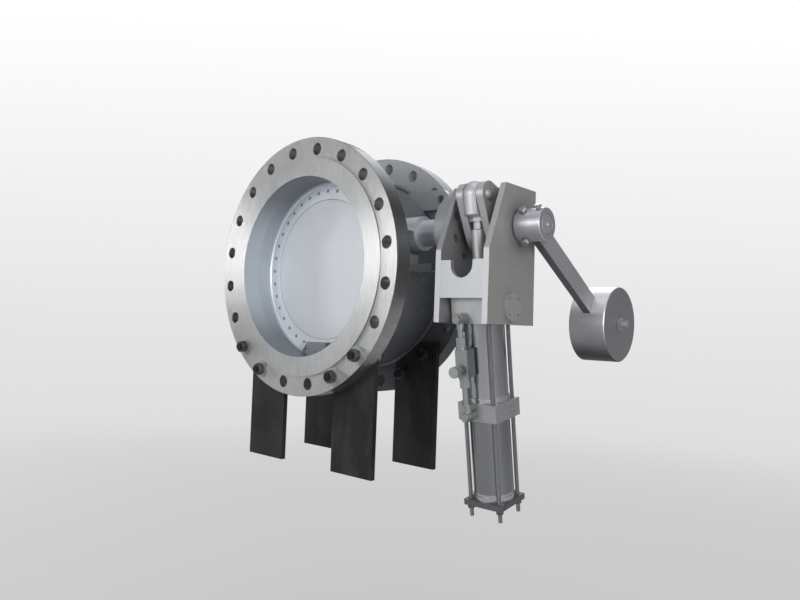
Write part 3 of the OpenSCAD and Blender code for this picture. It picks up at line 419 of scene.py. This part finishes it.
def bead_piece(name, paths, radius, finish, body):
    """Draws a round section along each path; a path is its points and whether it closes."""
    seam = bmesh.new()
    for path, closed in paths:
        rings = []
        for i, point in enumerate(path):
            before = path[i - 1] if closed or i > 0 else point
            after = path[(i + 1) % len(path)] if closed or i < len(path) - 1 else point
            turn = (after - before).to_track_quat("Z", "Y").to_matrix().to_4x4()
            made = bmesh.ops.create_circle(seam, segments=8, radius=radius * (1.0 - scale_swell * (i % 2)),
                                           matrix=Matrix.Translation(point) @ turn)
            rings.append(set(made["verts"]))
        pairs = list(zip(rings, rings[1:])) + ([(rings[-1], rings[0])] if closed else [])
        for first, second in pairs:
            both = first | second
            edges = [edge for edge in seam.edges if edge.verts[0] in both and edge.verts[1] in both
                     and (edge.verts[0] in first) == (edge.verts[1] in first)]
            bmesh.ops.bridge_loops(seam, edges=edges)
    bmesh.ops.holes_fill(seam, edges=seam.edges[:], sides=8)
    bmesh.ops.recalc_face_normals(seam, faces=seam.faces[:])
    mesh = bpy.data.meshes.new(name)
    seam.to_mesh(mesh)
    seam.free()
    for face in mesh.polygons:
        face.use_smooth = True
    mesh.materials.append(finish.material)
    piece = bpy.data.objects.new(name, mesh)
    bpy.context.scene.collection.objects.link(piece)
    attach(piece, body)


def round_the_circle(count):
    """The cosine and sine of each of count equal turns."""
    return [(math.cos(2 * math.pi * i / count), math.sin(2 * math.pi * i / count)) for i in range(count)]


def ring_path(radius, y):
    return [Vector((radius * c, y, radius * s)) for c, s in round_the_circle(180)], True


def on_shell(y, z, side=1.0):
    """The point of the shell's surface at y and z, on the lever side or the blind side."""
    return Vector((side * math.sqrt(shell_r ** 2 - z ** 2), y, z))


def saddle_path(radius, side):
    return [on_shell(shaft_at.y + radius * c, shaft_at.z + radius * s, side)
            for c, s in round_the_circle(72)], True


def line_path(start, end):
    count = max(2, int((end - start).length / scale_pitch))
    return [start.lerp(end, i / count) for i in range(count + 1)], False


strut_corners = [on_shell(strut_y[0], strut_z[0]), on_shell(strut_y[0], strut_z[1]),
                 on_shell(strut_y[1], strut_z[1]), on_shell(strut_y[1], strut_z[0])]
strut_seams = [line_path(start, end)
               for start, end in zip(strut_corners, strut_corners[1:] + strut_corners[:1])]
lug_seams = [line_path(on_shell(y, lug_z[0]), on_shell(y, lug_z[1])) for y in lug_y]
bead_piece("flange_seams", [ring_path(flange_seam_r, y) for y in flange_seam_y],
           flange_bead_r, weld, "valve")
bead_piece("neck_seams", [saddle_path(neck_seam_r, 1.0), saddle_path(boss_seam_r, -1.0)],
           neck_bead_r, weld, "valve")
bead_piece("strut_and_lug_seams", strut_seams + lug_seams,
           strut_bead_r, weld, "valve")


# Seat ring, disc, seal and retaining ring: stainless steel, turned and then blasted to a pale satin,
# with the seat and the ring a little bluer than the disc, and the ring's screws duller.
def satin_finish(name, dark, light, rough):
    """Blasted or brushed metal: soft patches of two tones and a fine grain."""
    finish = Finish(name, metallic=0.85)
    cloud = finish.noise(3.2, 4.0)
    patch = finish.noise(11.0, 6.0)
    fine = finish.noise(150.0, 2.0)
    finish.set(base_color=finish.blend(cloud * 0.6 + patch * 0.4, dark, light),
               roughness=rough + patch * 0.12)
    finish.bump(fine + patch * 0.6, depth=0.00006)
    return finish


dress(satin_finish("disc_satin", dark=(0.63, 0.66, 0.69), light=(0.80, 0.83, 0.86), rough=0.46), "disc")
dress(satin_finish("ring_satin", dark=(0.67, 0.71, 0.76), light=(0.86, 0.90, 0.94), rough=0.48),
      "seat_ring", "retaining_ring", "disc_seal")
dress(satin_finish("ring_screw_steel", dark=(0.30, 0.31, 0.33), light=(0.44, 0.45, 0.47), rough=0.40),
      "retaining_screws")

# Neck and its rib: a turned tube with a round flange, in pale satin steel. The flange by the bracket
# is darkened with painted shade.
neck_flange_x = (0.404, 0.410)


def neck_finish():
    finish = Finish("neck_satin", metallic=0.85)
    cloud = finish.noise(3.2, 4.0)
    patch = finish.noise(11.0, 6.0)
    fine = finish.noise(150.0, 2.0)
    # painted shade: the flange's end by the bracket is darkened
    flange = finish.step(finish.across("X") + patch * 0.004, *neck_flange_x)
    grey = finish.blend(cloud * 0.6 + patch * 0.4, (0.56, 0.58, 0.62), (0.73, 0.75, 0.79))
    finish.set(base_color=finish.blend(flange * 0.62, grey, (0.13, 0.135, 0.15)),
               roughness=0.50 + patch * 0.12)
    finish.bump(fine + patch * 0.6, depth=0.00006)
    return finish


dress(neck_finish(), "drive_neck", "neck_rib")

# Bracket: two flame-cut plates and a web, with a bar across the top and a ring of screws. The web and
# the plates' front edges are milled bright, and the plates' faces keep a grey primer.
front_y = 0.045
slant_from_z = 0.028
slant_normal = (0.0, 0.9305, -0.3664)
slant_front = slant_normal[1] * front_y + slant_normal[2] * slant_from_z
cut_skin = (0.0006, 0.0014)
halo_bounds = (0.050, 0.105)
shaft_axis = (0.0, shaft_at.y, shaft_at.z)
across_shaft = (0.0, 1.0, 1.0)


def milled_finish(name, dark, light, rough, metallic=0.9, along=(30.0, 30.0, 2.0)):
    """Milled or drawn metal: brush marks that are long where along is small."""
    finish = Finish(name, metallic=metallic)
    brushed = finish.noise(14.0, 4.0, stretch=along)
    cloud = finish.noise(6.0, 4.0)
    finish.set(base_color=finish.blend(brushed * 0.5 + cloud * 0.5, dark, light),
               roughness=rough + cloud * 0.14)
    finish.bump(brushed, depth=0.00005)
    return finish


def plate_finish(name, dark, light):
    """Primed faces, a bright front edge, a flame-cut slanted edge and a dark stain round the shaft."""
    finish = Finish(name, metallic=0.55)
    brushed = finish.noise(14.0, 4.0, stretch=(30.0, 30.0, 2.0))
    cloud = finish.noise(6.0, 5.0)
    marks = finish.step(finish.noise(22.0, 6.0, stretch=(1.0, 1.0, 3.0)), 0.60, 0.74)
    front = 1 - finish.step(finish.across("Y") - front_y, *cut_skin)
    slant = (1 - finish.step(finish.along(slant_normal) - slant_front, *cut_skin)) * 0.20
    halo = 1 - finish.step(finish.distance(shaft_axis, across_shaft) + cloud * 0.03, *halo_bounds)
    face = finish.blend(brushed * 0.4 + cloud * 0.6, dark, light)
    rubbed = finish.blend(marks * 0.35, face, (0.50, 0.50, 0.49))
    stained = finish.blend(halo * 0.6, rubbed, (0.17, 0.15, 0.18))
    edged = finish.blend(slant, stained, (0.56, 0.575, 0.60))
    finish.set(base_color=finish.blend(front, edged, (0.58, 0.595, 0.61)),
               roughness=0.46 + cloud * 0.16)
    finish.bump(brushed, depth=0.00005)
    return finish


dress(milled_finish("bright_mill", dark=(0.46, 0.47, 0.485), light=(0.57, 0.585, 0.60), rough=0.44),
      "bracket_web", "bracket_tie_bar", "lifting_lug")
dress(plate_finish("outer_plate_primer", dark=(0.31, 0.305, 0.30), light=(0.43, 0.425, 0.42)),
      "bracket_outer_plate")
dress(plate_finish("inner_plate_primer", dark=(0.22, 0.222, 0.23), light=(0.31, 0.312, 0.32)),
      "bracket_inner_plate")
dress(milled_finish("cap_grey", dark=(0.33, 0.325, 0.32), light=(0.45, 0.445, 0.44), rough=0.48,
                    metallic=0.55), "trunnion_caps")
dress(satin_finish("screw_steel", dark=(0.16, 0.165, 0.175), light=(0.28, 0.285, 0.295), rough=0.36),
      "bracket_screws")

# Shaft, lever, pin and rod: machined bar. The rod and its eye are satin bright, the shaft and the
# lever's cheeks are duller, and the pin is dull.
dress(milled_finish("bar_steel", dark=(0.50, 0.505, 0.52), light=(0.66, 0.665, 0.68), rough=0.40),
      "piston_rod", "rod_eye", "rod_lock_nut", "disc_pins")
dress(milled_finish("shaft_steel", dark=(0.42, 0.422, 0.445), light=(0.56, 0.562, 0.59), rough=0.56),
      "shaft")
dress(satin_finish("dull_pin", dark=(0.22, 0.225, 0.235), light=(0.34, 0.345, 0.355), rough=0.44),
      "lever_pin")
dress(milled_finish("cheek_steel", dark=(0.45, 0.455, 0.47), light=(0.60, 0.605, 0.62), rough=0.40),
      "lever_cheeks", "lever_hub", "lever_key")

# Counterweight: a turned hub, a flat bar arm and a solid drum, with faint turning marks. The arm's
# lower edge and the underside of the drum's side are darkened with painted shade.
drum_axis = (0.0, 0.5646, -0.1291)
drum_side = (0.0992, 0.1000)
drum_shade_z = (-0.222, -0.112)
arm_down = (0.0, -0.4970, -0.8678)
arm_middle = -0.16855
arm_shade_edge = (0.0242, 0.0248)


def drum_finish():
    finish = Finish("weight_steel", metallic=0.9)
    brushed = finish.noise(14.0, 4.0, stretch=(3.0, 30.0, 30.0))
    cloud = finish.noise(6.0, 4.0)
    grain = brushed * 0.6 + cloud * 0.4
    side = finish.step(finish.distance(drum_axis, across_shaft), *drum_side)
    # painted shade under the drum's side
    underside_shade = (1 - finish.step(finish.across("Z") + cloud * 0.02, *drum_shade_z)) * side
    end = finish.blend(grain, (0.34, 0.34, 0.362), (0.49, 0.49, 0.515))
    turned = finish.blend(grain, (0.62, 0.62, 0.65), (0.84, 0.84, 0.88))
    finish.set(base_color=finish.blend(underside_shade * 0.98, finish.blend(side, end, turned), (0.012, 0.012, 0.016)),
               roughness=0.34 + cloud * 0.12)
    finish.bump(brushed, depth=0.00008)
    return finish


def arm_finish():
    finish = Finish("arm_steel", metallic=0.8)
    brushed = finish.noise(14.0, 4.0, stretch=(30.0, 3.0, 30.0))
    cloud = finish.noise(6.0, 4.0)
    # painted shade on the arm's lower edge
    lower_shade = finish.step(finish.along(arm_down) - arm_middle, *arm_shade_edge)
    grey = finish.blend(brushed * 0.5 + cloud * 0.5, (0.42, 0.42, 0.45), (0.58, 0.58, 0.61))
    finish.set(base_color=finish.blend(lower_shade * 0.9, grey, (0.085, 0.083, 0.10)),
               roughness=0.42 + cloud * 0.14)
    finish.bump(brushed, depth=0.00005)
    return finish


dress(milled_finish("hub_steel", dark=(0.46, 0.462, 0.50), light=(0.62, 0.622, 0.665), rough=0.36),
      "counterweight_hub")
dress(arm_finish(), "counterweight_arm")
dress(drum_finish(), "counterweight_drum")

# Damper: drawn tubes between milled blocks, held by four threaded rods. Each tube is polished along
# its length and has a bright turned band at its lower end.
damper_axis = (0.0, -0.1613, 0.9869)
upper_tube_band = -0.337
lower_tube_band = -0.576
band_fade = 0.004
tube_ring_pitch = 0.0016
rod_thread_pitch = 0.0015


def tube_finish(name, dark, light, band_top):
    finish = Finish(name, metallic=0.95)
    brushed = finish.noise(14.0, 4.0, stretch=(30.0, 30.0, 1.0))
    cloud = finish.noise(6.0, 4.0)
    run = finish.along(damper_axis)
    band = 1 - finish.step(run, band_top, band_top + band_fade)
    grey = finish.blend(brushed * 0.5 + cloud * 0.5, dark, light)
    finish.set(base_color=finish.blend(band * 0.7, grey, (0.62, 0.63, 0.64)),
               roughness=0.15 + cloud * 0.08)
    finish.bump(brushed * 0.6 + finish.ridges(run, tube_ring_pitch) * 0.4, depth=0.00005)
    return finish


def thread_finish(name, dark, light, axis, pitch):
    """A threaded bar: crests and grooves across its axis, the grooves darkened with painted shade."""
    finish = Finish(name, metallic=0.8)
    cloud = finish.noise(20.0, 4.0)
    groove = finish.ridges(finish.along(axis), pitch)
    # painted shade in the grooves
    finish.set(base_color=finish.blend(groove, dark, light), roughness=0.38 + cloud * 0.16)
    finish.bump(groove, depth=0.0009, round_edge=0.0004)
    return finish


dress(milled_finish("head_steel", dark=(0.50, 0.505, 0.52), light=(0.65, 0.655, 0.67), rough=0.42),
      "damper_head")
dress(tube_finish("tube_steel", (0.34, 0.35, 0.37), (0.50, 0.51, 0.53), upper_tube_band),
      "upper_tube", "piston")
dress(milled_finish("block_steel", dark=(0.32, 0.325, 0.34), light=(0.46, 0.465, 0.48), rough=0.44,
                    metallic=0.7), "middle_block")
dress(tube_finish("low_tube_steel", (0.21, 0.216, 0.228), (0.34, 0.346, 0.36), lower_tube_band),
      "lower_tube")
dress(milled_finish("flange_steel", dark=(0.10, 0.102, 0.11), light=(0.18, 0.182, 0.19), rough=0.44,
                    metallic=0.7), "bottom_flange")
dress(thread_finish("rod_thread", (0.22, 0.225, 0.23), (0.46, 0.47, 0.48), damper_axis, rod_thread_pitch),
      "damper_tie_rods")
dress(satin_finish("nut_steel", dark=(0.09, 0.092, 0.098), light=(0.20, 0.202, 0.208), rough=0.34),
      "tie_rod_nuts")

# Fittings and bolts: plated steel. The oil line and its throttle block are a greenish grey, the knob
# and the small bolts are lighter, and the stop's two bolts are new and bright.
even_brush = (8.0, 8.0, 8.0)
dress(milled_finish("fitting_grey", dark=(0.28, 0.295, 0.295), light=(0.42, 0.435, 0.435), rough=0.28,
                    along=even_brush), "oil_line", "needle_valve")
dress(milled_finish("plated_steel", dark=(0.36, 0.375, 0.385), light=(0.50, 0.52, 0.53), rough=0.36,
                    along=even_brush),
      "adjusting_knob", "end_cover_bolts", "hub_screws", "counterweight_bolt")
dress(milled_finish("new_bolt", dark=(0.70, 0.71, 0.72), light=(0.86, 0.87, 0.88), rough=0.34,
                    along=even_brush), "stop_bolts")

# Bushes, gland and packing: cast bronze and graphite, seen only at their ends.
# They are pressed or packed into the neck, the boss, the plates and the damper's head.
dress(satin_finish("cast_bronze", dark=(0.36, 0.22, 0.09), light=(0.52, 0.34, 0.16), rough=0.38),
      "shaft_bushes", "outer_shaft_bush", "rod_gland")
dress(satin_finish("graphite", dark=(0.015, 0.015, 0.016), light=(0.035, 0.035, 0.037), rough=0.6),
      "packing_rings")

# Legs: hot-rolled flat bar with its brownish-black mill scale, blotched, scraped and streaked
# lengthwise. Each hangs on two blackened studs; their washers are bright, and on the outlet flange
# they are darkened with painted shade.
stud_axis = (0.0, 1.0, 0.0)
stud_thread_pitch = 0.0025
washer_shade_y = (0.15, 0.20)


def scale_finish():
    finish = Finish("mill_scale", metallic=0.35)
    streak = finish.noise(9.0, 6.0, stretch=(6.0, 6.0, 0.7))
    cloud = finish.noise(7.0, 5.0)
    scrape = finish.step(finish.noise(30.0, 5.0, stretch=(5.0, 5.0, 0.25)), 0.66, 0.76)
    blotch = finish.step(finish.noise(13.0, 6.0, stretch=(1.0, 1.0, 0.45)), 0.44, 0.58)
    reddish = finish.step(finish.noise(9.0, 5.0, stretch=(1.0, 1.0, 0.6)), 0.47, 0.60)
    black = finish.blend(blotch, (0.0055, 0.0054, 0.0055), (0.023, 0.0235, 0.0238))
    rusty = finish.blend(reddish * 0.6, black, (0.021, 0.0145, 0.0132))
    streaked = finish.blend(streak * 0.3, rusty, (0.036, 0.034, 0.032))
    finish.set(base_color=finish.blend(scrape * 0.5, streaked, (0.10, 0.096, 0.093)),
               roughness=0.58 + cloud * 0.2)
    finish.bump(streak + cloud, depth=0.00025)
    return finish


def washer_finish():
    finish = Finish("washer_steel", metallic=0.85)
    cloud = finish.noise(20.0, 4.0)
    # painted shade: the washers on the outlet flange are darkened
    behind = finish.step(finish.across("Y"), *washer_shade_y)
    bright = finish.blend(cloud, (0.36, 0.375, 0.385), (0.50, 0.52, 0.53))
    finish.set(base_color=finish.blend(behind, bright, (0.05, 0.05, 0.055)),
               roughness=0.36 + cloud * 0.14)
    finish.bump(cloud, depth=0.00005)
    return finish


dress(scale_finish(), "inlet_leg_left", "inlet_leg_right", "outlet_leg_left", "outlet_leg_right")
dress(thread_finish("stud_thread", (0.010, 0.010, 0.011), (0.055, 0.053, 0.050), stud_axis,
                    stud_thread_pitch), "leg_studs")
dress(satin_finish("blackened", dark=(0.07, 0.071, 0.074), light=(0.15, 0.15, 0.152), rough=0.30),
      "leg_nuts")
dress(washer_finish(), "leg_washers")
